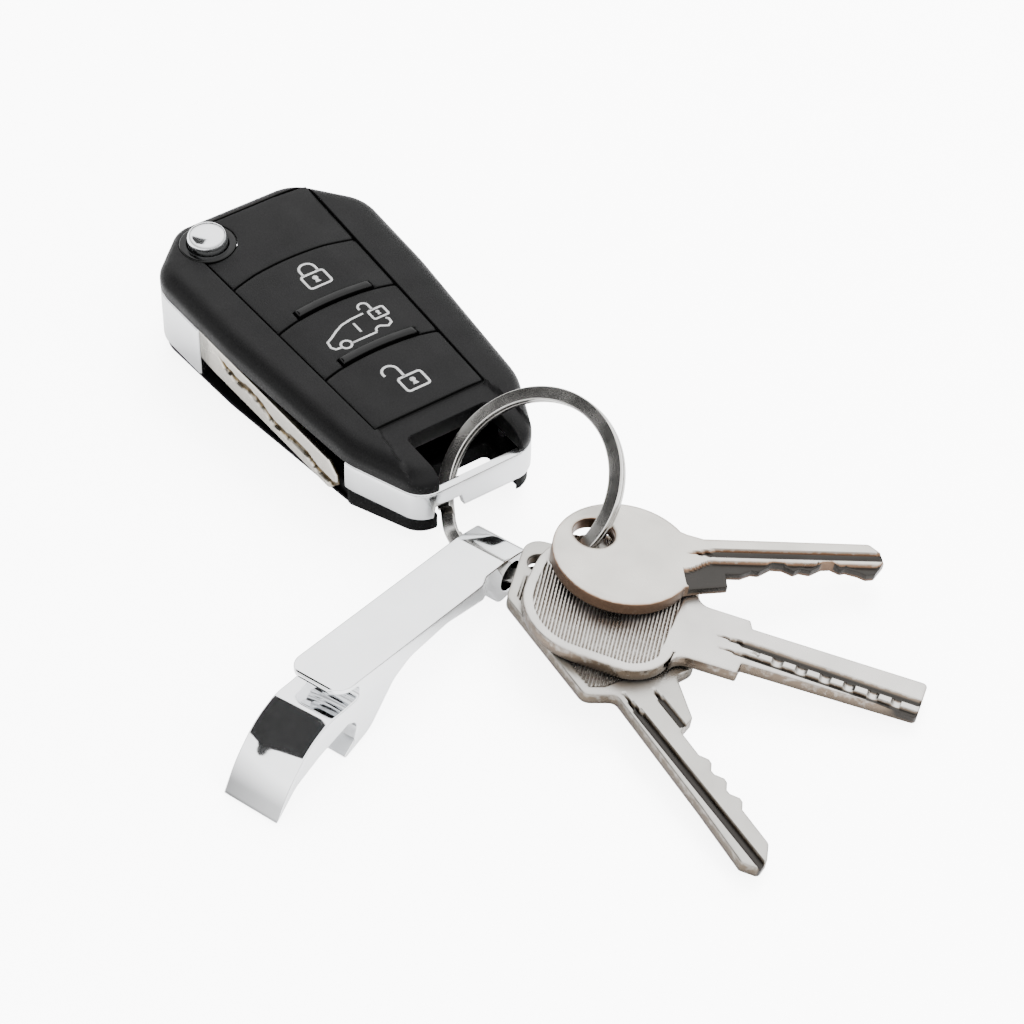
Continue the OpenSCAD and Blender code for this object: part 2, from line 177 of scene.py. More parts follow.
def plate(name, loops, bottom, top, place, cell=0.5, edge=0.15, rows=None, sharp=35, tint=None):
    """A closed plate. loops are its outline and holes, top and bottom are heights or functions of
    (x, y, distance from the edge), and both faces fall away in a quarter circle of radius edge at the
    outline. The faces are filled on a grid of size cell; tint(x, y, d) is kept as the attribute wear, and the
    underside's rim then gets painted shade that darkens the side walls."""
    cells = np.broadcast_to(np.array(cell, float), 2)
    loops = [dense(np.array(l, float), cells.max()) for l in loops]
    rows = edge * np.array([0.06, 0.25, 0.55, 1.0]) if rows is None else np.array(rows)
    points, edges, count = [], [], 0
    for loop in loops:
        n = len(loop)
        edges += [(count + i, count + (i + 1) % n) for i in range(n)]
        points.append(loop)
        count += n
    offsets = []
    for loop in loops:
        side = np.roll(loop, -1, 0) - np.roll(loop, 1, 0)
        inward = np.stack([-side[:, 1], side[:, 0]], 1) / np.linalg.norm(side, axis=1)[:, None]
        probe = inside_distance(loop + inward * 0.02, loops)
        inward *= np.where(probe > 0, 1, -1)[:, None]
        for row in rows:
            offset = loop + inward * row
            offsets.append(offset[inside_distance(offset, loops) > row * 0.93])
    low, high = loops[0].min(0), loops[0].max(0)
    columns, lines = (np.arange(low[i], high[i], cells[i]) for i in (0, 1))
    grid = np.stack(np.meshgrid(columns, lines), -1)
    grid = grid.reshape(-1, 2)
    grid = grid[inside_distance(grid, loops) > rows.max() + 0.35 * cells.min()]
    points = np.concatenate(points + offsets + [grid])
    out = delaunay_2d_cdt([Vector(p) for p in points.tolist()], edges, [], 0, 1e-5)
    flat = np.array([tuple(v) for v in out[0]])
    tris = np.array([f for f in out[2] if len(f) == 3])
    tris = tris[inside_distance(flat[tris].mean(1), loops) > 0]
    a, b, c = flat[tris[:, 0]], flat[tris[:, 1]], flat[tris[:, 2]]
    area = (b[:, 0] - a[:, 0]) * (c[:, 1] - a[:, 1]) - (b[:, 1] - a[:, 1]) * (c[:, 0] - a[:, 0])
    tris = tris[np.abs(area) > 1e-7]
    area = area[np.abs(area) > 1e-7]
    tris[area < 0] = tris[area < 0][:, ::-1]
    used, tris = np.unique(tris, return_inverse=True)
    flat, tris = flat[used], tris.reshape(-1, 3)
    d = np.maximum(inside_distance(flat, loops), 0)
    x, y = flat.T
    heights = [f(x, y, d) if callable(f) else np.full(len(x), float(f)) for f in (bottom, top)]
    fall = edge - np.sqrt(np.maximum(edge ** 2 - np.maximum(edge - d, 0) ** 2, 0))
    thick = np.concatenate([np.c_[flat, heights[1] - fall], np.c_[flat, heights[0] + fall]])
    n = len(flat)
    half = np.concatenate([tris[:, [0, 1]], tris[:, [1, 2]], tris[:, [2, 0]]])
    key = half[:, 0] * n + half[:, 1]
    border = half[~np.isin(key, half[:, 1] * n + half[:, 0])]
    sides = np.stack([border[:, 1], border[:, 0], border[:, 0] + n, border[:, 1] + n], 1)
    faces = tris.tolist() + (tris[:, ::-1] + n).tolist() + sides.tolist()
    piece = make_mesh(name, (thick @ place[0].T + place[1]) * MM, faces, sharp)
    # With a tint, the underside carries 0.72 at its rim, fading inward, which darkens the side walls: painted
    # shade.
    wear = np.zeros(2 * n) if tint is None else np.concatenate([tint(x, y, d), 0.72 * np.exp(-d / 0.3)])
    keep_wear_and_shade(piece, wear)
    print(name, len(faces), "faces")
    return piece


def wear(piece, material, body, slot, *nodes):
    """Gives the piece its finish, its body and the nodes that it stands for; slot is not used."""
    piece.data.materials.clear()
    piece.data.materials.append(material)
    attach(piece, body)
    if nodes:
        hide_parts(*nodes)
    return piece

# %% [markdown]
# The finishes are all built one way: a Principled shader whose roughness drifts with a broad noise, and
# whose bump is a fine noise, so that light never falls on a perfectly even surface. Where the plates kept a
# wear value, a second colour comes through: brown rubbed metal on the rims, and painted shade, near black or
# dark brown, in milled grooves, between ribs, on the keys' side walls and along the ring's joint.
# An image texture could do it too, but noise in Object coordinates needs no unwrapping.

# %% Finishes
def finish(name, colour, metallic, roughness, spread=0.08, grain=(3000, 0.02), brushed=None,
           wear_and_shade_colour=None, coat=0.0, specular=0.5):
    """A Principled finish. spread is how far the roughness drifts, grain the scale and depth (in mm) of the
    bump, brushed stretches the bump along one Object axis, and the wear colour shows where the wear attribute is
    low and turns to painted shade, near black, where it is high."""
    material = bpy.data.materials.new(name)
    material.use_nodes = True
    nodes, links = material.node_tree.nodes, material.node_tree.links
    shader = nodes["Principled BSDF"]
    shader.inputs["Metallic"].default_value = metallic
    shader.inputs["Coat Weight"].default_value = coat
    shader.inputs["Coat Roughness"].default_value = 0.08
    shader.inputs["Specular IOR Level"].default_value = specular
    where = nodes.new("ShaderNodeTexCoord").outputs["Object"]
    broad = nodes.new("ShaderNodeTexNoise")
    broad.inputs["Scale"].default_value = 160
    broad.inputs["Detail"].default_value = 6
    links.new(where, broad.inputs["Vector"])
    drift = nodes.new("ShaderNodeMapRange")
    drift.inputs["From Min"].default_value = 0.3
    drift.inputs["From Max"].default_value = 0.7
    drift.inputs["To Min"].default_value = max(roughness - spread, 0.02)
    drift.inputs["To Max"].default_value = roughness + spread
    links.new(broad.outputs["Fac"], drift.inputs["Value"])
    links.new(drift.outputs["Result"], shader.inputs["Roughness"])
    tone = nodes.new("ShaderNodeMix")
    tone.data_type = "RGBA"
    tone.inputs["A"].default_value = (*colour, 1)
    tone.inputs["B"].default_value = (*[c * 0.86 for c in colour], 1)
    links.new(broad.outputs["Fac"], tone.inputs["Factor"])
    result = tone.outputs["Result"]
    if wear_and_shade_colour:
        mark = nodes.new("ShaderNodeAttribute")
        mark.attribute_name = "wear"
        patch = nodes.new("ShaderNodeTexNoise")
        patch.inputs["Scale"].default_value = 900
        patch.inputs["Detail"].default_value = 5
        links.new(where, patch.inputs["Vector"])
        amount = nodes.new("ShaderNodeMath")
        amount.operation = "MULTIPLY_ADD"
        amount.use_clamp = True
        amount.inputs[2].default_value = 0.0
        boost = nodes.new("ShaderNodeMapRange")
        boost.inputs["From Min"].default_value = 0.3
        boost.inputs["From Max"].default_value = 0.62
        boost.inputs["To Min"].default_value = 1.3
        boost.inputs["To Max"].default_value = 2.4
        links.new(patch.outputs["Fac"], boost.inputs["Value"])
        links.new(mark.outputs["Fac"], amount.inputs[0])
        links.new(boost.outputs["Result"], amount.inputs[1])
        # Above a wear value of 0.55 the colour turns near black: painted shade in grooves, on side walls and along
        # the ring's joint.
        painted_shade_mix = nodes.new("ShaderNodeMapRange")
        painted_shade_mix.inputs["From Min"].default_value = 0.55
        painted_shade_mix.inputs["From Max"].default_value = 0.85
        links.new(mark.outputs["Fac"], painted_shade_mix.inputs["Value"])
        under = nodes.new("ShaderNodeMix")
        under.data_type = "RGBA"
        under.inputs["A"].default_value = (*wear_and_shade_colour, 1)
        under.inputs["B"].default_value = (0.03, 0.028, 0.026, 1)
        links.new(painted_shade_mix.outputs["Result"], under.inputs["Factor"])
        blend = nodes.new("ShaderNodeMix")
        blend.data_type = "RGBA"
        links.new(under.outputs["Result"], blend.inputs["B"])
        links.new(result, blend.inputs["A"])
        links.new(amount.outputs["Value"], blend.inputs["Factor"])
        result = blend.outputs["Result"]
    links.new(result, shader.inputs["Base Color"])
    fine = nodes.new("ShaderNodeTexNoise")
    fine.inputs["Scale"].default_value = grain[0]
    fine.inputs["Detail"].default_value = 4
    if brushed is None:
        links.new(where, fine.inputs["Vector"])
    else:
        stretch = nodes.new("ShaderNodeMapping")
        stretch.inputs["Rotation"].default_value = (0, 0, math.radians(brushed))
        stretch.inputs["Scale"].default_value = (0.04, 1, 1)
        links.new(where, stretch.inputs["Vector"])
        links.new(stretch.outputs["Vector"], fine.inputs["Vector"])
    bump = nodes.new("ShaderNodeBump")
    bump.inputs["Strength"].default_value = 1.0
    bump.inputs["Distance"].default_value = grain[1] * MM
    links.new(fine.outputs["Fac"], bump.inputs["Height"])
    links.new(bump.outputs["Normal"], shader.inputs["Normal"])
    return material


ring_nickel = finish("ring_nickel", (0.46, 0.45, 0.43), 1, 0.24,
                     grain=(5000, 0.004), wear_and_shade_colour=(0.10, 0.09, 0.08))
bright_chrome = finish("bright_chrome", (0.80, 0.81, 0.82), 1, 0.05, 0.02, grain=(500, 0.0006))
band_chrome = finish("band_chrome", (0.70, 0.71, 0.72), 1, 0.16, 0.04, grain=(2500, 0.002))
key_worn = finish("key_worn", (0.54, 0.52, 0.48), 1, 0.34, 0.10,
                  grain=(2600, 0.012), wear_and_shade_colour=(0.20, 0.12, 0.075))
key_bright = finish("key_bright", (0.54, 0.525, 0.50), 1, 0.30, 0.10,
                    grain=(3200, 0.01), wear_and_shade_colour=(0.13, 0.10, 0.075))
key_dull = finish("key_dull", (0.42, 0.41, 0.385), 1, 0.32, 0.10,
                  grain=(3000, 0.01), wear_and_shade_colour=(0.10, 0.08, 0.06))
soft_black = finish("soft_black", (0.0018, 0.0018, 0.0019), 0, 0.44, 0.05,
                    grain=(5200, 0.04), specular=0.10)
coarse_black = finish("coarse_black", (0.0012, 0.0012, 0.0013), 0, 0.5, 0.08,
                      grain=(3600, 0.05), specular=0.05)
polished_black = finish("polished_black", (0.001, 0.001, 0.001), 0, 0.14, 0.04,
                        grain=(1800, 0.004), specular=0.16)
symbol_grey = finish("symbol_grey", (0.30, 0.30, 0.30), 0, 0.6, 0.05, grain=(6000, 0.01))
blade_steel = finish("blade_steel", (0.62, 0.59, 0.53), 1, 0.28, 0.08,
                     grain=(3000, 0.01), wear_and_shade_colour=(0.11, 0.08, 0.04))
plain_steel = finish("plain_steel", (0.62, 0.62, 0.62), 1, 0.3, 0.08, grain=(3000, 0.01))
brass = finish("brass", (0.78, 0.64, 0.32), 1, 0.28, 0.08, grain=(3000, 0.008))
green_board = finish("green_board", (0.03, 0.16, 0.07), 0, 0.3, 0.08, grain=(2500, 0.02), coat=0.4)
silicone = finish("silicone", (0.05, 0.05, 0.055), 0, 0.6, 0.08, grain=(3000, 0.02))
print("finishes", len(bpy.data.materials))

# %% [markdown]
# ## The split ring
# A split ring is one flat spring wire wound twice round, with a step where one turn climbs over the other.
# A torus would be round in section; here a rounded rectangle is carried along a line that goes round twice
# and climbs once, so the dark joint between the turns and the two cut ends are real. The faces along the joint are
# also painted darker: painted shade.

# %% Split ring
ring_radius, wire_width, coil_thick, coil_gap = 16.45, 2.3, 0.97, 0.06
climb_at = 235


def split_ring():
    """The wire's sections stand from 9 to 711 degrees past the climb; their height goes from the lower
    turn to the upper one along a smooth S about 360 degrees."""
    angle = np.linspace(9, 711, 900)
    level = (coil_thick + coil_gap) / 2 * (2 * smooth_step(angle, 350, 370) - 1)
    section = rounded([[-wire_width / 2, -coil_thick / 2], [wire_width / 2, -coil_thick / 2],
                       [wire_width / 2, coil_thick / 2], [-wire_width / 2, coil_thick / 2]], 0.22, 5)
    turn = np.radians(angle + climb_at)[:, None]
    radius = ring_radius - wire_width / 2 + section[:, 0]
    points = np.stack([radius * np.cos(turn), radius * np.sin(turn),
                       level[:, None] + section[:, 1] + 0 * turn], 2)
    n, m = points.shape[:2]
    index = np.arange(n * m).reshape(n, m)
    a, b = index[:-1], index[1:]
    sides = np.stack([a, b, np.roll(b, -1, 1), np.roll(a, -1, 1)], 2).reshape(-1, 4)[:, ::-1]
    faces = sides.tolist() + [index[0].tolist(), index[-1][::-1].tolist()]
    flat = points.reshape(-1, 3) @ ring_place[0].T + ring_place[1]
    piece = make_mesh("split_ring_wire", flat * MM, faces)
    # Painted shade: the faces next to the gap between the turns are darkened, near black at the gap.
    joint_shade = np.exp(-np.abs(np.abs(points[..., 2]) - 0.02) / 0.06)
    keep_wear_and_shade(piece, joint_shade.reshape(-1))
    return piece


wear(split_ring(), ring_nickel, "ring", "ring_steel", "split_ring")

# %% [markdown]
# ## Belt clip and bottle opener
# The clip is a zinc casting, chromed all over. From the side it is one closed profile: an eye for the ring,
# a springy strap, a gap, and a foot whose arch is the bottle mouth. So it is a plate standing on its edge:
# its outline is the side view and its thickness is the clip's width.

# %% Belt clip
near_half, far_half, eye_half = 4.9, 5.7, 4.75
eye_radius, eye_height = 2.65, 3.8
eye_reach, full_reach = 6.2, 9
clip_profile = np.array([
    [-4.3, 0.1], [3.4, 0.1], [6, 5.2], [17.5, 8.4], [26.5, 8.8], [30.5, 7.4], [36.5, 1.6], [43.3, 0],
    [40.2, 2], [39, 5.6], [41.5, 7], [48, 5.9], [53.5, 4.2], [58.5, 0], [55.4, 5], [50.5, 9.6],
    [45.5, 11.3], [42.5, 10.9], [38.4, 10.6], [38.4, 13.2], [43, 13.9], [43.2, 15.1], [2, 8.5], [-4.3, 6.8]])
clip_profile[:, 0] += np.maximum(clip_profile[:, 0] - 6, 0) * 2.5 / 58.5
clip_corners = [3.2, 2, 2, 8, 6, 5, 6, 0.2, 2, 2, 0.9, 3, 5, 0.1, 22, 12, 6, 2, 1.2, 1.2, 0.4, 0.5, 3, 1.5]
strap_end, strap_corner = 44.79, 3.4


def corner_draw(x, z):
    """How far the sides draw in along a quarter circle at the strap's free end."""
    into = np.where(z > 12.4, np.clip(x - (strap_end - strap_corner), 0, strap_corner), 0)
    return strap_corner - np.sqrt(strap_corner ** 2 - into ** 2)


def near_side(x, z, d):
    """The side away from the keys."""
    return near_half - corner_draw(x, z)


def far_side(x, z, d):
    """The side towards the keys, narrower at the eye."""
    widening = (far_half - eye_half) * smooth_step(x, eye_reach, full_reach)
    return -(eye_half + widening) + corner_draw(x, z)


on_edge = np.array([[1, 0, 0], [0, 0, -1], [0, 1, 0.0]])
clip_side = (clip_place[0] @ on_edge, clip_place[1])
clip_loops = [rounded(clip_profile, clip_corners, 16), arc(0, eye_height, eye_radius, 0, 354, 60)]
clip = plate("belt_clip", clip_loops, far_side, near_side, clip_side, cell=0.5, edge=0.3,
             rows=[0.02, 0.09, 0.18, 0.3], sharp=45)
wear(clip, bright_chrome, "clip", "clip_chrome", "clip_opener")

# %% [markdown]
# ## The keys
# A key is a stamped blank with grooves milled along its blade and notches cut into one edge. The outline
# carries the notches, and the height of the top face carries the grooves, the ribs and the raised rim.

# %% Grooves
def groove(x, y, start, end, centre, width, depth, point=5.0):
    """Depth of a milled groove along X: a flat bottom with steep sides, that begins in a point."""
    half = width / 2 * np.clip((x - start) / point, 0, 1)
    return depth * smooth_step(half - np.abs(y - centre), -0.05, 0.3) * (x > start) * (x < end)


# %% Round key
round_head = (5.3, -3.1, 11.5)
blade_side_y, cut_share = -6.4, 0.6
cut_edge = np.array([
    [24.1, -6.4], [26, -4.9], [27.2, -5.2], [29.5, -2.7], [31.4, -2.9], [33, -4.7], [34.1, -3.7],
    [35.8, -4.4], [38, -2.2], [39.5, -2], [40.9, -3.7], [41.8, -3.2], [43.8, -4.4], [45, -5.6],
    [46.4, -5.3]])
cut_edge[:, 1] = blade_side_y + cut_share * (cut_edge[:, 1] - blade_side_y)
round_outline = np.concatenate([
    arc(*round_head, 27.8, 320.6, 120), [[15.6, -10], [21.4, -9.3], [21.6, -6.4]], cut_edge,
    [[48.5, -3.1], [48.5, -1.9], [46.5, 0.5], [19, 0.7], [16.4, 1.7]]])


def lower_step(x, y, soft):
    """1 on the lower step that runs from the shoulder to the notches, and 0 above it."""
    edge = -4.0 - 2.0 * smooth_step(20 - x, 0, 5)
    return smooth_step(edge - y, 0, soft) * (x > 14.8)


def round_top(x, y, d):
    """Flat, with a leaf-pointed groove, a lower step towards the notches, and a slightly raised rim."""
    cut = groove(x, y, 15.3, 60, -2.5, 2.0, 0.8)
    rim = 0.06 * np.exp(-((d - 0.6) / 0.35) ** 2) * (x < 15)
    return key_thick - np.maximum(cut, 0.75 * lower_step(x, y, 0.4)) + rim - 0.05


def round_wear_and_shade(x, y, d):
    """Brown wear along the rim and the hole; painted shade, near black, in the groove and on the lower step."""
    cut = groove(x, y, 15.3, 60, -2.5, 2.0, 1.0)
    return np.clip(0.7 * np.exp(-d / 0.14) + np.maximum(cut, 0.85 * lower_step(x, y, 0.3)), 0, 1)


round_hole = arc(1.1, 1.35, 3.4, 0, 355, 60)
round_key = plate("round_key_blank", [round_outline, round_hole], 0, round_top, round_place, cell=(0.35, 0.3),
                  edge=0.2, tint=round_wear_and_shade)
wear(round_key, key_worn, "round_key", "nickel_silver_worn", "round_key")

# %% Ribbed key
ribbed_outline = rounded(
    [[-4.5, -19.6], [21.4, -19.6], [21.4, -12.9], [31.7, -12.5], [31.8, -10.2], [60, -8.8], [60, -1.6],
     [31.4, -2.4], [30.6, -0.8], [21.4, -1], [21.4, 7.6], [-4.5, 7.6]],
    [11.5, 7, 2.5, 0.4, 0.3, 0.8, 0.8, 0.3, 0.4, 2.5, 7, 11.5])
rib_pitch, rib_lean = 0.58, math.radians(8)


def rib_wave(x, y, turn=0.0):
    """1 on top of each rib and 0 between the ribs, along lines that lean a little."""
    along = x * math.cos(rib_lean + turn) + y * math.sin(rib_lean + turn)
    return 0.5 + 0.5 * np.cos(2 * np.pi * along / rib_pitch)


def rib_field(x, y, d, centre, reach):
    """1 on the ribbed field of a head and 0 outside it: clear of the rim and of the hole."""
    from_hole = np.hypot(x - centre[0], y - centre[1])
    return smooth_step(d, 1.5, 1.75) * smooth_step(reach - x, 0, 0.3) * smooth_step(from_hole, 5.2, 5.5)


def ribbed_top(x, y, d):
    """A rim round a sunken field of fine ribs, and two grooves with dimples along the blade."""
    field = rib_field(x, y, d, (0.55, 1.4), 19.6)
    ribs = 0.24 - 0.2 * rib_wave(x, y) ** 0.7
    cut = np.maximum(groove(x, y, 26.4, 61, -6.1, 1.5, 0.7), groove(x, y, 27.2, 61, -8.5, 1.2, 0.6))
    spots = np.clip(np.cos(2 * np.pi * (x - 33) / 3.9), 0, 1) ** 0.7
    dimples = 0.75 * spots * groove(x, y, 32, 57, -7.3, 2.2, 1)
    return key_thick - 0.02 - field * ribs - np.maximum(cut, dimples)


def ribbed_wear_and_shade(x, y, d):
    """Painted shade: darker between the ribs and near black in the grooves; brown wear along the outer edge."""
    field = rib_field(x, y, d, (0.55, 1.4), 19.6)
    cut = np.maximum(groove(x, y, 26.4, 61, -6.1, 1.5, 1), groove(x, y, 27.2, 61, -8.5, 1.2, 0.9))
    return np.clip(0.4 * np.exp(-d / 0.15) + 0.4 * field * (1 - rib_wave(x, y)) + cut, 0, 1)


ribbed_key = plate("ribbed_key_blank", [ribbed_outline, arc(0.55, 1.4, 3.8, 0, 355, 60)], 0, ribbed_top,
                   ribbed_place, cell=(0.12, 0.3), edge=0.25, tint=ribbed_wear_and_shade)
wear(ribbed_key, key_bright, "ribbed_key", "nickel_silver_bright", "ribbed_key")

# %% Pointed key
pointed_outline = rounded(
    [[-6.6, 1], [3.2, -9.1], [25.8, -9.1], [28, -4.6], [52, -5.3], [63.6, -5.9], [66, -4], [65, -2],
     [62.6, 0], [55.5, 0.15], [54.3, 1.05], [53.5, 1.15], [52.1, 0.2], [51.3, 0.2], [50.1, 1.1],
     [49.3, 1.2], [47.9, 0.25],
     [47.1, 0.25], [45.9, 1.15], [45.1, 1.2], [43.7, 0.3], [38.6, 0.4], [37.2, 3.6], [29, 6.2],
     [28.6, 10.9], [3.4, 10.9]],
    [3, 2.5, 2, 1.5, 30, 0.8, 0.8, 0.6, 1.5] + [0.2] * 12 + [0.6, 0.8, 1.2, 2.5, 2.5], 6)
slot_ends = np.array([[-0.7, -0.3], [1.25, 4.1]])


def pointed_top(x, y, d):
    """A ribbed field with a thin raised frame, and a groove along the blade."""
    field = rib_field(x, y, d, (0.3, 1.9), 26)
    ribs = 0.24 - 0.2 * rib_wave(x, y, 0.66) ** 0.7
    frame_line = np.exp(-((np.abs(y - 1) - (26 - x) * 0.42) / 0.25) ** 2) * (x > 8)
    cut = np.maximum(groove(x, y, 28, 68, -3.4, 1.6, 0.8), groove(x, y, 29, 38, 1.3, 1.2, 0.6, 3))
    return key_thick - 0.02 - field * (ribs - 0.14 * frame_line) - cut


def pointed_wear_and_shade(x, y, d):
    """Painted shade: darker between the ribs and near black in the groove; brown wear along the outer edge."""
    field = rib_field(x, y, d, (0.3, 1.9), 26)
    cut = np.maximum(groove(x, y, 28, 68, -3.4, 1.6, 1), groove(x, y, 29, 38, 1.3, 1.2, 1, 3))
    return np.clip(0.35 * np.exp(-d / 0.15) + 0.45 * field * (1 - rib_wave(x, y, 0.66)) + cut, 0, 1)


slot_turn = math.degrees(math.atan2(*(slot_ends[1] - slot_ends[0])[::-1]))
pointed_hole = np.concatenate([arc(*slot_ends[1], 1.95, slot_turn - 90, slot_turn + 90, 24),
                               arc(*slot_ends[0], 1.95, slot_turn + 90, slot_turn + 270, 24)])
pointed_key = plate("pointed_key_blank", [pointed_outline, pointed_hole], 0, pointed_top, pointed_place,
                    cell=(0.12, 0.3), edge=0.25, tint=pointed_wear_and_shade)
wear(pointed_key, key_dull, "pointed_key", "nickel_silver_dull", "pointed_key")

# %% [markdown]
# ## The car remote
# The remote is a stack: a lower shell, a chromed band, an upper cover with rounded shoulders, and a strip
# of buttons let into it. They follow one outline, so it is written once, and the shoulder is a function
# of the distance from it.

# %% Remote outline
outline = [[-19.9, -12], [-11.47, -20.96], [10, -20.2], [43, -16.9], [56.6, -11.2],
           [56.6, 11.2], [43, 17.2], [10, 19.9], [-9, 20.4], [-19.9, 11.5]]
outline_radii = [5, 7, 60, 14, 5, 5, 14, 60, 9, 8]
hinge = np.array([-12.6, -9.8])
button_pitch, button_gap, sag = 14, 0.22, 1.6
band_top, band_low, remote_high, taper = -4.1, -10.1, 16.7, 3.4
slot_start, slot_low, slot_high = 46.2, -7.4, 8.6
whole_outline = rounded(outline, outline_radii, 14)


def strip_half(u):
    """Half width of the button strip, which narrows towards the ring."""
    return 12.4 - 0.036 * u


def cross_line(index, v):
    """Place along the remote of a line between buttons: an arc that bulges towards the hinge."""
    return index * button_pitch - sag * (1 - (v / 12.4) ** 2)


def strip_height(u, v, base=0.03):
    """The strip is flat along its middle and falls gently away outside two folds."""
    return base - 0.075 * np.maximum(np.abs(v + 0.4) - 7.0 - 0.03 * u, 0)


# %% Upper cover
shell_outline = rounded(
    outline[:5]
    + [[56.6, slot_low], [slot_start, slot_low], [slot_start, slot_high], [56.6, slot_high]]
    + outline[5:],
    outline_radii[:5] + [0.5, 1.2, 1.2, 0.5] + outline_radii[5:], 14)
collar_room = 5.05
strip_window = np.concatenate([
    [[42.3, -strip_half(42.3)], [42.3, strip_half(42.3)], [-17.3, strip_half(-17.3)], [-17.3, hinge[1] + 1.95]],
    arc(*hinge, collar_room, 157, 321.4, 50)])[::-1]


def cover_top(u, v, d):
    """Flat inside, with an elliptical shoulder along the outer outline and a shallow step by the slot."""
    outer = np.maximum(inside_distance(np.c_[u, v], [whole_outline]), 0)
    shoulder = 2.5 * (1 - np.sqrt(np.maximum(1 - (np.maximum(3.4 - outer, 0) / 3.4) ** 2, 0)))
    panel = smooth_step(u, 42.2, 42.5) * smooth_step(10.7 + 0.13 * (u - 42.3) - np.abs(v - 0.3), 0, 0.5)
    return 0.0 - shoulder - 0.55 * panel


upper = plate("upper_cover_shell", [shell_outline, strip_window], band_top + 0.12, cover_top, remote_place,
              cell=0.5, edge=0.12, rows=[0.01, 0.04, 0.12, 0.3, 0.6, 1.0], sharp=32)
wear(upper, soft_black, "remote", "soft_touch_black", "upper_cover")

# %% Strip and buttons
across = np.linspace(-1, 1, 25)


def strip_outline(first, last, notch=None):
    """Between two cross lines; notch is the divider's (v from, v to)."""
    start = cross_line(first, across * strip_half(first * button_pitch)) + button_gap
    half_start = strip_half(start[0]) - button_gap
    end_v = across * (strip_half(last * button_pitch) - button_gap)
    end = (cross_line(last, end_v) if last < 3 else 42.2 + 0 * across) - button_gap
    upper_side = np.c_[start, across * half_start][::-1]
    lower_side = np.c_[end, end_v]
    if notch:
        hit = (end_v > notch[0] - 0.25) & (end_v < notch[1] + 0.25)
        keep = lower_side[~hit]
        corners = (notch[0] - 0.25, notch[1] + 0.25)
        cut = [[np.interp(v, end_v, end), v] for v in corners]
        deep = [[np.interp(v, end_v, end) - divider_width - 0.15, v] for v in corners]
        middle_deep = np.c_[end[hit] - divider_width - 0.15, end_v[hit]]
        before, after = keep[keep[:, 1] < notch[0]], keep[keep[:, 1] > notch[1]]
        lower_side = np.concatenate([before, [cut[0], deep[0]], middle_deep, [deep[1], cut[1]], after])
    return np.concatenate([lower_side, upper_side])


divider_width, divider_span = 1.75, (-6.8, 7.9)
button_names = ["lock", "boot", "unlock"]
for index, label in enumerate(button_names):
    shape = strip_outline(index, index + 1, divider_span if index < 2 else None)
    key_top = plate(label + "_key", [shape], -1.4, lambda u, v, d: strip_height(u, v), remote_place,
                    cell=0.7, edge=0.16)
    wear(key_top, soft_black, label, "button_black", label + "_button")

plate_outline = np.concatenate([
    [[-16.9, hinge[1] + 2.0]], arc(*hinge, collar_room + 0.05, 157, -38.5, 60),
    np.c_[cross_line(0, across * strip_half(0)) - button_gap, across * (strip_half(0) - button_gap)],
    [[-16.9, strip_half(-17) - button_gap]]])
plate_outline = plate_outline[(plate_outline[:, 1] > -strip_half(0) - 0.2)]
top_strip = plate("top_strip", [plate_outline], -1.5, lambda u, v, d: strip_height(u, v), remote_place,
                  cell=0.7, edge=0.16)
wear(top_strip, soft_black, "remote", "plate_black", "top_plate")


def divider(index):
    """A rounded bar along a cross line, on the hinge side of it."""
    v = np.linspace(*divider_span, 30)
    back = cross_line(index, v) - 0.3
    loop = np.concatenate([np.c_[back, v], np.c_[back - divider_width, v][::-1]])
    bar = plate("divider_" + str(index), [loop], -2, 0.62, remote_place, cell=0.4, edge=0.55,
                rows=[0.02, 0.08, 0.2, 0.35, 0.55])
    return wear(bar, polished_black, "remote", "gloss_black", "button_dividers")


divider(1)
divider(2)

# %% [markdown]
# The symbols are printed lines about a third of a millimetre wide. They could be an image; drawn as thin
# ribbons they stay crisp at any distance, and they ride on the buttons. Only plain pictures are drawn: a
# closed padlock, a van, and an open padlock.

# %% Symbols
def ribbon(path, width=0.42):
    """A line of even width along a path: at each point it spreads both ways along the mitred normal."""
    p = np.array(path, float)
    ahead = np.diff(p, axis=0)
    ahead /= np.linalg.norm(ahead, axis=1)[:, None]
    normal = np.c_[-ahead[:, 1], ahead[:, 0]]
    mitre = np.concatenate([normal[:1], normal[:-1] + normal[1:], normal[-1:]])
    mitre /= np.maximum((mitre ** 2).sum(1), 0.4)[:, None] ** 0.5
    ends = np.concatenate([[1], 1 / np.clip((mitre[1:-1] * normal[1:]).sum(1), 0.6, 1), [1]])[:, None]
    return np.stack([p + mitre * ends * width / 2, p - mitre * ends * width / 2], 1)


def symbol(name, lines, fills, at, body, slot_name, size=1.0):
    """Joins ribbons and filled fans, drawn with X to the right and Y up, into one thin raised print."""
    points, faces = [], []
    for line in lines:
        r = ribbon(line)
        base = sum(len(p) for p in points)
        points.append(r.reshape(-1, 2))
        k = np.arange(len(r) - 1) * 2 + base
        faces += np.stack([k, k + 1, k + 3, k + 2], 1).tolist()
    for fill in fills:
        base = sum(len(p) for p in points)
        points.append(np.array(fill, float))
        faces.append(list(range(base, base + len(fill)))[::-1])
    flat = np.concatenate(points) * size
    u, v = at[0] - flat[:, 1], at[1] + flat[:, 0]
    place = np.c_[u, v, strip_height(u, v, 0.055)]
    piece = make_mesh(name, (place @ remote_place[0].T + remote_place[1]) * MM, faces)
    solid = piece.modifiers.new("print", "SOLIDIFY")
    solid.thickness = 0.03 * MM
    solid.offset = -1
    piece.data.attributes.new("wear", "FLOAT", "POINT")
    return wear(piece, symbol_grey, body, slot_name)


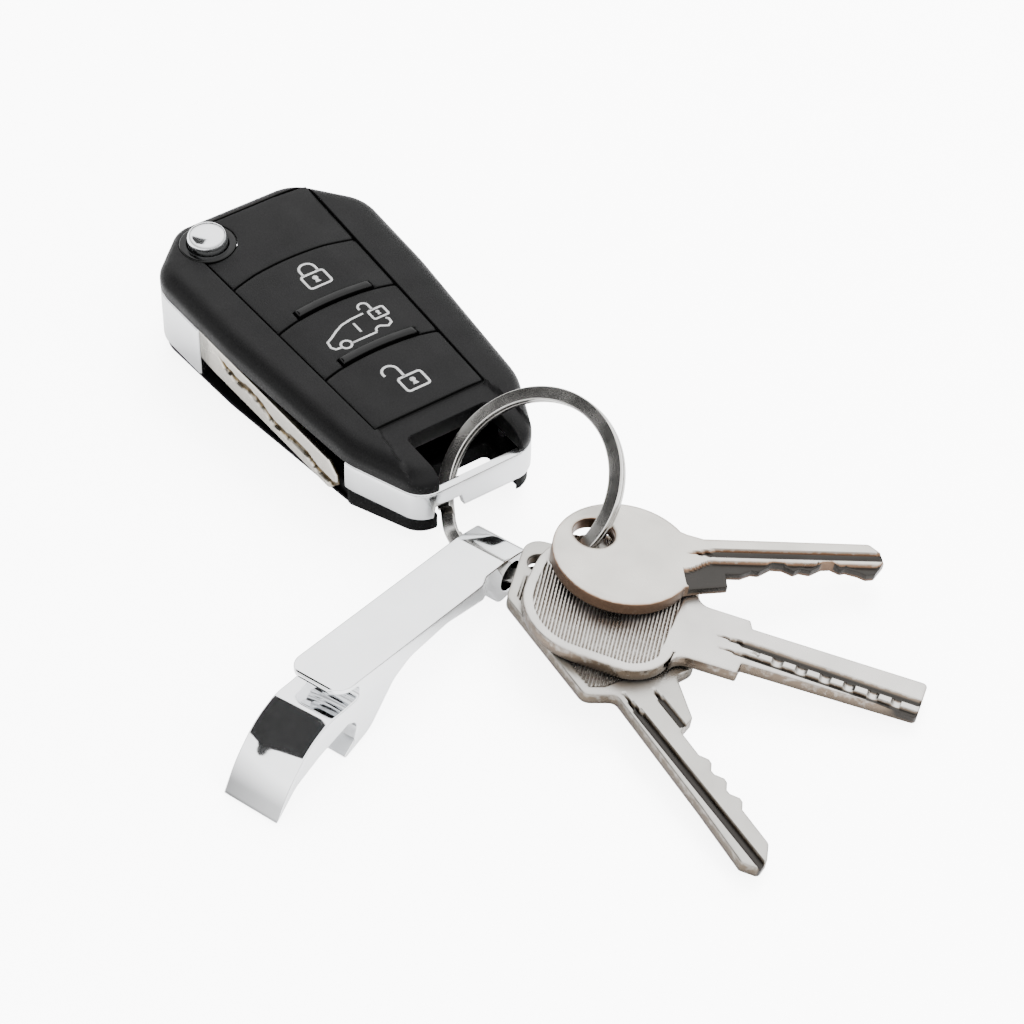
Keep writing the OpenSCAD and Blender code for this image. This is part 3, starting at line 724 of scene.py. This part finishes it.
def padlock(opened):
    """A rounded box with a keyhole, and a bow that is closed or swung out to the left."""
    box = rounded([[-2.0, -3.0], [2.0, -3.0], [2.0, 0.2], [-2.0, 0.2]], 0.5, 5)
    box = np.concatenate([box, box[:1]])
    bow = arc(0, 1.3, 1.35, 180, 0, 18)
    bow = np.concatenate([[[-1.35, 0.2]], bow, [[1.35, 0.2]]])
    if opened:
        bow = np.concatenate([arc(-1.95, 2.2, 1.3, 200, 0, 20), [[-0.65, 0.2]]])
    hole = np.concatenate([arc(0, -1.0, 0.48, -60, 240, 20), [[-0.5, -2.1], [0.5, -2.1]]])
    return [box, bow], [hole]


def shifted(parts, dx, dy, scale=1.0):
    """The same lines or fills, moved and scaled."""
    return [np.array(p) * scale + [dx, dy] for p in parts]


lines, fills = padlock(False)
symbol("closed_padlock_sign", shifted(lines, 0, 0), fills, (4.2, 0.9), "lock", "button_black", 1.1)
lines, fills = padlock(True)
symbol("open_padlock_sign", shifted(lines, 0, 0), fills, (34.6, 0.9), "unlock", "button_black", 1.1)
small_lines, small_fills = padlock(True)
van_lines = [
    np.array([[-4.5, -2.1], [-5.6, -2.0], [-6.1, -1.2], [-5.9, 0.2], [-4.6, 0.9], [-3.2, 1.8],
              [-1.6, 2.6], [0.6, 3.0], [3.0, 3.1]]),
    arc(-3.5, -1.9, 0.95, 0, 360, 24),
    np.array([[-2.5, -2.1], [2.5, -2.1]]),
    np.concatenate([arc(3.5, -2.0, 0.95, 180, 45, 12), [[5.0, -1.8], [5.9, -1.3], [6.0, -0.3], [5.6, 0.1]]]),
    np.array([[0.3, 1.9], [0.3, -0.6]])]
small = (5.3, 2.9, 0.72)
symbol("van_sign", van_lines + shifted(small_lines, *small), shifted(small_fills, *small),
       (20.6, -0.2), "boot", "button_black", 1.0)

# %% [markdown]
# ## Release button, band and lower shell
# The release button is a domed chrome cap in a black collar. The band is a strip that runs round the
# outline, so its section is carried along the outline wherever the blade and its head don't need room.

# %% Release button and collar
def dome(x, y, d):
    """A cap: almost flat on top, rounding over towards its edge."""
    from_middle = np.hypot(x, y) / 3.55
    return 2.9 - 0.55 * from_middle ** 2 - 0.5 * from_middle ** 6


hinge_place = (remote_place[0], remote_place[1] + remote_place[0] @ np.array([*hinge, 0]))
release = plate("release_cap", [arc(0, 0, 3.55, 0, 354, 60)], -4, dome, hinge_place, cell=0.4, edge=0.7,
                rows=[0.03, 0.12, 0.3, 0.5, 0.7])
wear(release, band_chrome, "release", "release_chrome", "release_button")
collar_loops = [arc(0, 0, 5.0, 0, 354, 60), arc(0, 0, 3.65, 0, 354, 60)]
collar = plate("release_ring", collar_loops, -4.1, 0.12, hinge_place, cell=0.4,
               edge=0.3, rows=[0.02, 0.1, 0.2, 0.3])
wear(collar, polished_black, "remote", "gloss_black", "release_collar")

# %% Chrome band
bay_end, bay_in = 42.2, -15.9


def band():
    """Carries a section with a slightly bulged face along the part of the outline that the blade leaves."""
    path = dense(whole_outline, 0.6)
    swept = np.hypot(*(path - hinge).T) < 18.95
    swept &= (path - hinge) @ [0.592, 0.806] < 5.95
    bay = (path[:, 0] > 0.6) & (path[:, 0] < bay_end) & (path[:, 1] < 0)
    keep = ~(swept | bay)
    first = np.flatnonzero(keep & ~np.roll(keep, 1))[0]
    path, keep = np.roll(path, -first, 0), np.roll(keep, -first)
    path = path[keep]
    side = np.gradient(path, axis=0)
    inward = np.stack([-side[:, 1], side[:, 0]], 1) / np.linalg.norm(side, axis=1)[:, None]
    bar = smooth_step(path[:, 0], 55.0, 56.0)
    height = np.array([0.0, 0.02, 0.08, 0.2, 0.4, 0.6, 0.8, 0.92, 0.98, 1.0, 1.0, 0.96, 0.04, 0.0])
    depth = np.array([0.35, 0.16, 0.04, 0.02, 0, 0, 0.02, 0.04, 0.16, 0.35, 1.15, 1.3, 1.3, 1.15])
    notch = smooth_step(path[:, 0], 55.5, 56.2)
    notch = notch * smooth_step(path[:, 1], -8.7, -8.3) * smooth_step(-path[:, 1], 2.7, 3.1)
    low = band_low + 2.5 * notch
    up = low[:, None] + (band_top - low)[:, None] * height
    inner = depth + bar[:, None] * np.where(depth > 1, 0.2, 0)
    points = np.concatenate([path[:, None] + inward[:, None] * inner[..., None], up[..., None]], 2)
    n, m = points.shape[:2]
    index = np.arange(n * m).reshape(n, m)
    a, b = index[:-1], index[1:]
    faces = np.stack([a, b, np.roll(b, -1, 1), np.roll(a, -1, 1)], 2).reshape(-1, 4).tolist()
    faces += [index[0][::-1].tolist(), index[-1].tolist()]
    points = points.reshape(-1, 3) @ remote_place[0].T + remote_place[1]
    return make_mesh("chrome_strip", points * MM, faces, 50)


wear(band(), band_chrome, "remote", "band_chrome", "chrome_band")

# %% Lower shell
def underside(u):
    """Height of the flat underside, which rises towards the ring."""
    return -remote_high + u * math.tan(math.radians(taper))


shell_low_outline = rounded(
    [[bay_end, bay_in], [bay_end, -16.3], [43, -16.35], [56, -10.9], [56, slot_low], [slot_start, slot_low],
     [slot_start, slot_high], [56, slot_high], [56, 10.9], [43, 16.6], [10, 19.3], [-9, 19.8], [-19.3, 11.2],
     [-19.3, 2.6], [-17.2, 1.1], [-17.2, 10.2], [-8.2, 17.7], [10, 17.2], [42.5, 14.6], [44.8, 12.8],
     [44.8, -12.8], [42.5, -14.5], [6.2, -14.5], [7, bay_in]],
    [0.05, 0.05, 0.3, 4.5, 0.5, 1, 1, 0.5, 4.5, 13, 60, 8.5, 7.5, 0.5, 0.3, 6, 6.5, 60, 1, 0.5, 0.5, 0.5,
     0.2, 0.2], 8)
lower = plate("lower_shell", [shell_low_outline], lambda u, v, d: underside(u) + 0.4, band_low, remote_place,
              cell=0.9, edge=0.2, sharp=35)
wear(lower, coarse_black, "remote", "moulded_black", "lower_cover")


def tray_bottom(u, v, d):
    """The underside, rounding up along the outline."""
    return underside(u) + 0.9 * (1 - np.sqrt(np.maximum(1 - (np.maximum(1.6 - d, 0) / 1.6) ** 2, 0)))


tray_outline = rounded(
    [[-19.3, -11.7], [-11.2, -20.4], [10, -19.6], [43, -16.3], [56, -10.9], [56, slot_low], [slot_start, slot_low],
     [slot_start, slot_high], [56, slot_high], [56, 10.9], [43, 16.6], [10, 19.3], [-9, 19.8], [-19.3, 11.2]],
    [4.5, 6.5, 60, 13, 4.5, 0.5, 1, 1, 0.5, 4.5, 13, 60, 8.5, 7.5], 14)
tray = plate("lower_tray", [tray_outline, arc(24, 0, 11.1, 0, 354, 60)], tray_bottom,
             lambda u, v, d: underside(u) + 1.3, remote_place, cell=0.9, edge=0.1,
             rows=[0.02, 0.1, 0.3, 0.6, 1.0, 1.6], sharp=35)
wear(tray, coarse_black, "remote", "moulded_black", "lower_cover")

# %% Blade and its head
head_outline = np.concatenate([
    rounded([[-19.8, -7.3], [-19.9, -12], [-11.47, -20.96], [1.3, -20.45], [1.3, -16.2], [-7.4, -16.2]],
            [0.3, 4.2, 7, 0.5, 0.3, 1.0], 14), arc(*hinge, 5.6, -48, 100, 30)])
head_loops = [head_outline, arc(*hinge, 4.1, 0, 354, 60)]
head = plate("blade_block", head_loops, -15.0, -4.5, remote_place, cell=0.9, edge=0.5,
             rows=[0.02, 0.1, 0.25, 0.5], sharp=40)
wear(head, band_chrome, "blade", "band_chrome", "blade_head")

blade_side = (remote_place[0] @ np.array([[1, 0, 0], [0, 0, -1], [0, 1, 0.0]]),
              remote_place[1] + remote_place[0] @ np.array([0, -16.9, 0]))
blade_outline = rounded([[-9.4, -12.7], [38.6, -12.7], [41, -10.4], [41, -8.4], [38.6, -6.2], [-9.4, -6.2]],
                        [0.1, 1.2, 0.8, 0.8, 1.2, 0.1])


def wave(x):
    """Height of the milled groove along the blade: a few flats joined by slopes."""
    return -8.6 - 0.07 * (x - 8) + 0.45 * np.tanh(2.2 * np.sin(x / 2.15)) + 0.25 * np.sin(x / 5.1)


def blade_cut(x, y):
    """How deep into the groove a point lies, from 0 to 1."""
    half = 0.75 * smooth_step(x, 5, 8)
    return smooth_step(half - np.abs(y - wave(x)), -0.1, 0.15) * (x > 4)


def blade_face(x, y, d):
    """Height of the outer face, which thins towards the tip and carries the groove."""
    return 2.3 - 0.042 * np.maximum(x - 4, 0) - 0.5 * blade_cut(x, y)


# The tint colours the milled groove dark brown: painted shade in the groove.
blade = plate("folding_blade", [blade_outline], 0, blade_face, blade_side,
              cell=(0.3, 0.25), edge=0.2, tint=lambda x, y, d: 0.62 * blade_cut(x, y))
wear(blade, blade_steel, "blade", "blade_steel", "flip_blade")

# %% [markdown]
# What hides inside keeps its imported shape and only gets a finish.

# %% Hidden parts
inner_finish = {"blade_pin": plain_steel, "hinge_spring": plain_steel, "circuit_board": green_board,
                "coin_cell": plain_steel, "battery_contacts": brass, "micro_switches": plain_steel,
                "transponder_chip": polished_black, "button_membrane": silicone, "case_screws": plain_steel,
                "battery_hatch": coarse_black}
for node, material in inner_finish.items():
    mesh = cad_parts[node].data
    mesh.materials.clear()
    mesh.materials.append(material)
print("kept", sorted(inner_finish))

# %% [markdown]
# ## Table, light and camera
# Chrome shows its surroundings more than itself, so the sky brightens from the horizon up, and two black
# cards put dark shapes in the bright metal. The lamps only light what is dull: they are hidden from
# reflections. The floor glows for the camera alone, which keeps it near white without lighting the part.

# %% Studio
def stage_material(name, colour, roughness, strength=0.0):
    """A plain finish for the studio: a floor, or a card that gives light."""
    material = bpy.data.materials.new(name)
    material.use_nodes = True
    shader = material.node_tree.nodes["Principled BSDF"]
    shader.inputs["Base Color"].default_value = (*colour, 1)
    shader.inputs["Roughness"].default_value = roughness
    if strength:
        shader.inputs["Emission Color"].default_value = (1, 1, 1, 1)
        shader.inputs["Emission Strength"].default_value = strength
    return material


def card(name, middle_at, size, aim, material):
    """A flat card of size (width, height) in metres that faces a point."""
    middle_at, aim = Vector(middle_at), Vector(aim)
    mesh = bpy.data.meshes.new(name)
    w, h = size[0] / 2, size[1] / 2
    mesh.from_pydata([(-w, -h, 0), (w, -h, 0), (w, h, 0), (-w, h, 0)], [], [(0, 1, 2, 3)])
    mesh.materials.append(material)
    piece = bpy.data.objects.new(name, mesh)
    bpy.context.collection.objects.link(piece)
    piece.location = middle_at
    piece.rotation_euler = (aim - middle_at).to_track_quat("Z", "Y").to_euler()
    return piece


black_card = stage_material("black_card", (0.004, 0.004, 0.004), 0.9)
pale = stage_material("pale_floor", (0.95, 0.95, 0.955), 0.3)
seen = pale.node_tree.nodes.new("ShaderNodeLightPath").outputs["Is Camera Ray"]
glow = pale.node_tree.nodes.new("ShaderNodeMath")
glow.operation = "MULTIPLY"
glow.inputs[1].default_value = 6.0
pale.node_tree.links.new(seen, glow.inputs[0])
shader = pale.node_tree.nodes["Principled BSDF"]
shader.inputs["Emission Color"].default_value = (1, 1, 1, 1)
pale.node_tree.links.new(glow.outputs["Value"], shader.inputs["Emission Strength"])
floor = card("floor", (0, 0, 0), (6, 6), (0, 0, 1), pale)
card("dark_above", (-0.34, 0.02, 0.48), (0.60, 0.46), (-0.04, -0.06, 0), black_card)
card("dark_behind", (0, 0.90, 0.14), (1.6, 0.20), (0, 0, 0.1), black_card)
world = bpy.data.worlds.new("studio")
bpy.context.scene.world = world
world.use_nodes = True
sky = world.node_tree.nodes
way = sky.new("ShaderNodeSeparateXYZ")
world.node_tree.links.new(sky.new("ShaderNodeTexCoord").outputs["Generated"], way.inputs[0])
rise = sky.new("ShaderNodeMapRange")
for label, value in (("From Min", 0.02), ("From Max", 0.45), ("To Min", 0.5), ("To Max", 3.8)):
    rise.inputs[label].default_value = value
world.node_tree.links.new(way.outputs["Z"], rise.inputs["Value"])
world.node_tree.links.new(rise.outputs["Result"], sky["Background"].inputs["Strength"])
sky["Background"].inputs["Color"].default_value = (1, 1, 1, 1)


def lamp(name, place, size, watts, aim=(0, 0, 0)):
    """A square area light that faces a point."""
    light = bpy.data.lights.new(name, "AREA")
    light.size = size
    light.energy = watts
    piece = bpy.data.objects.new(name, light)
    bpy.context.collection.objects.link(piece)
    piece.location = place
    piece.rotation_euler = (Vector(aim) - Vector(place)).to_track_quat("-Z", "Y").to_euler()
    piece.visible_glossy = False
    return piece


lamp("key_light", (0.25, 0.75, 0.9), 0.7, 26)
lamp("fill_light", (0.8, -0.3, 0.8), 0.7, 10)

# %% Camera
target = Vector((table_point * MM).tolist())
camera_data = bpy.data.cameras.new("camera")
camera_data.lens = 110.04
camera_data.sensor_width = 36
camera_data.clip_start = 0.01
camera = bpy.data.objects.new("camera", camera_data)
bpy.context.collection.objects.link(camera)
distance, elevation = 0.520, math.radians(44.2)
camera.location = target + Vector((0, -distance * math.cos(elevation), distance * math.sin(elevation)))
camera.rotation_euler = (target - camera.location).to_track_quat("-Z", "Y").to_euler()
bpy.context.scene.camera = camera
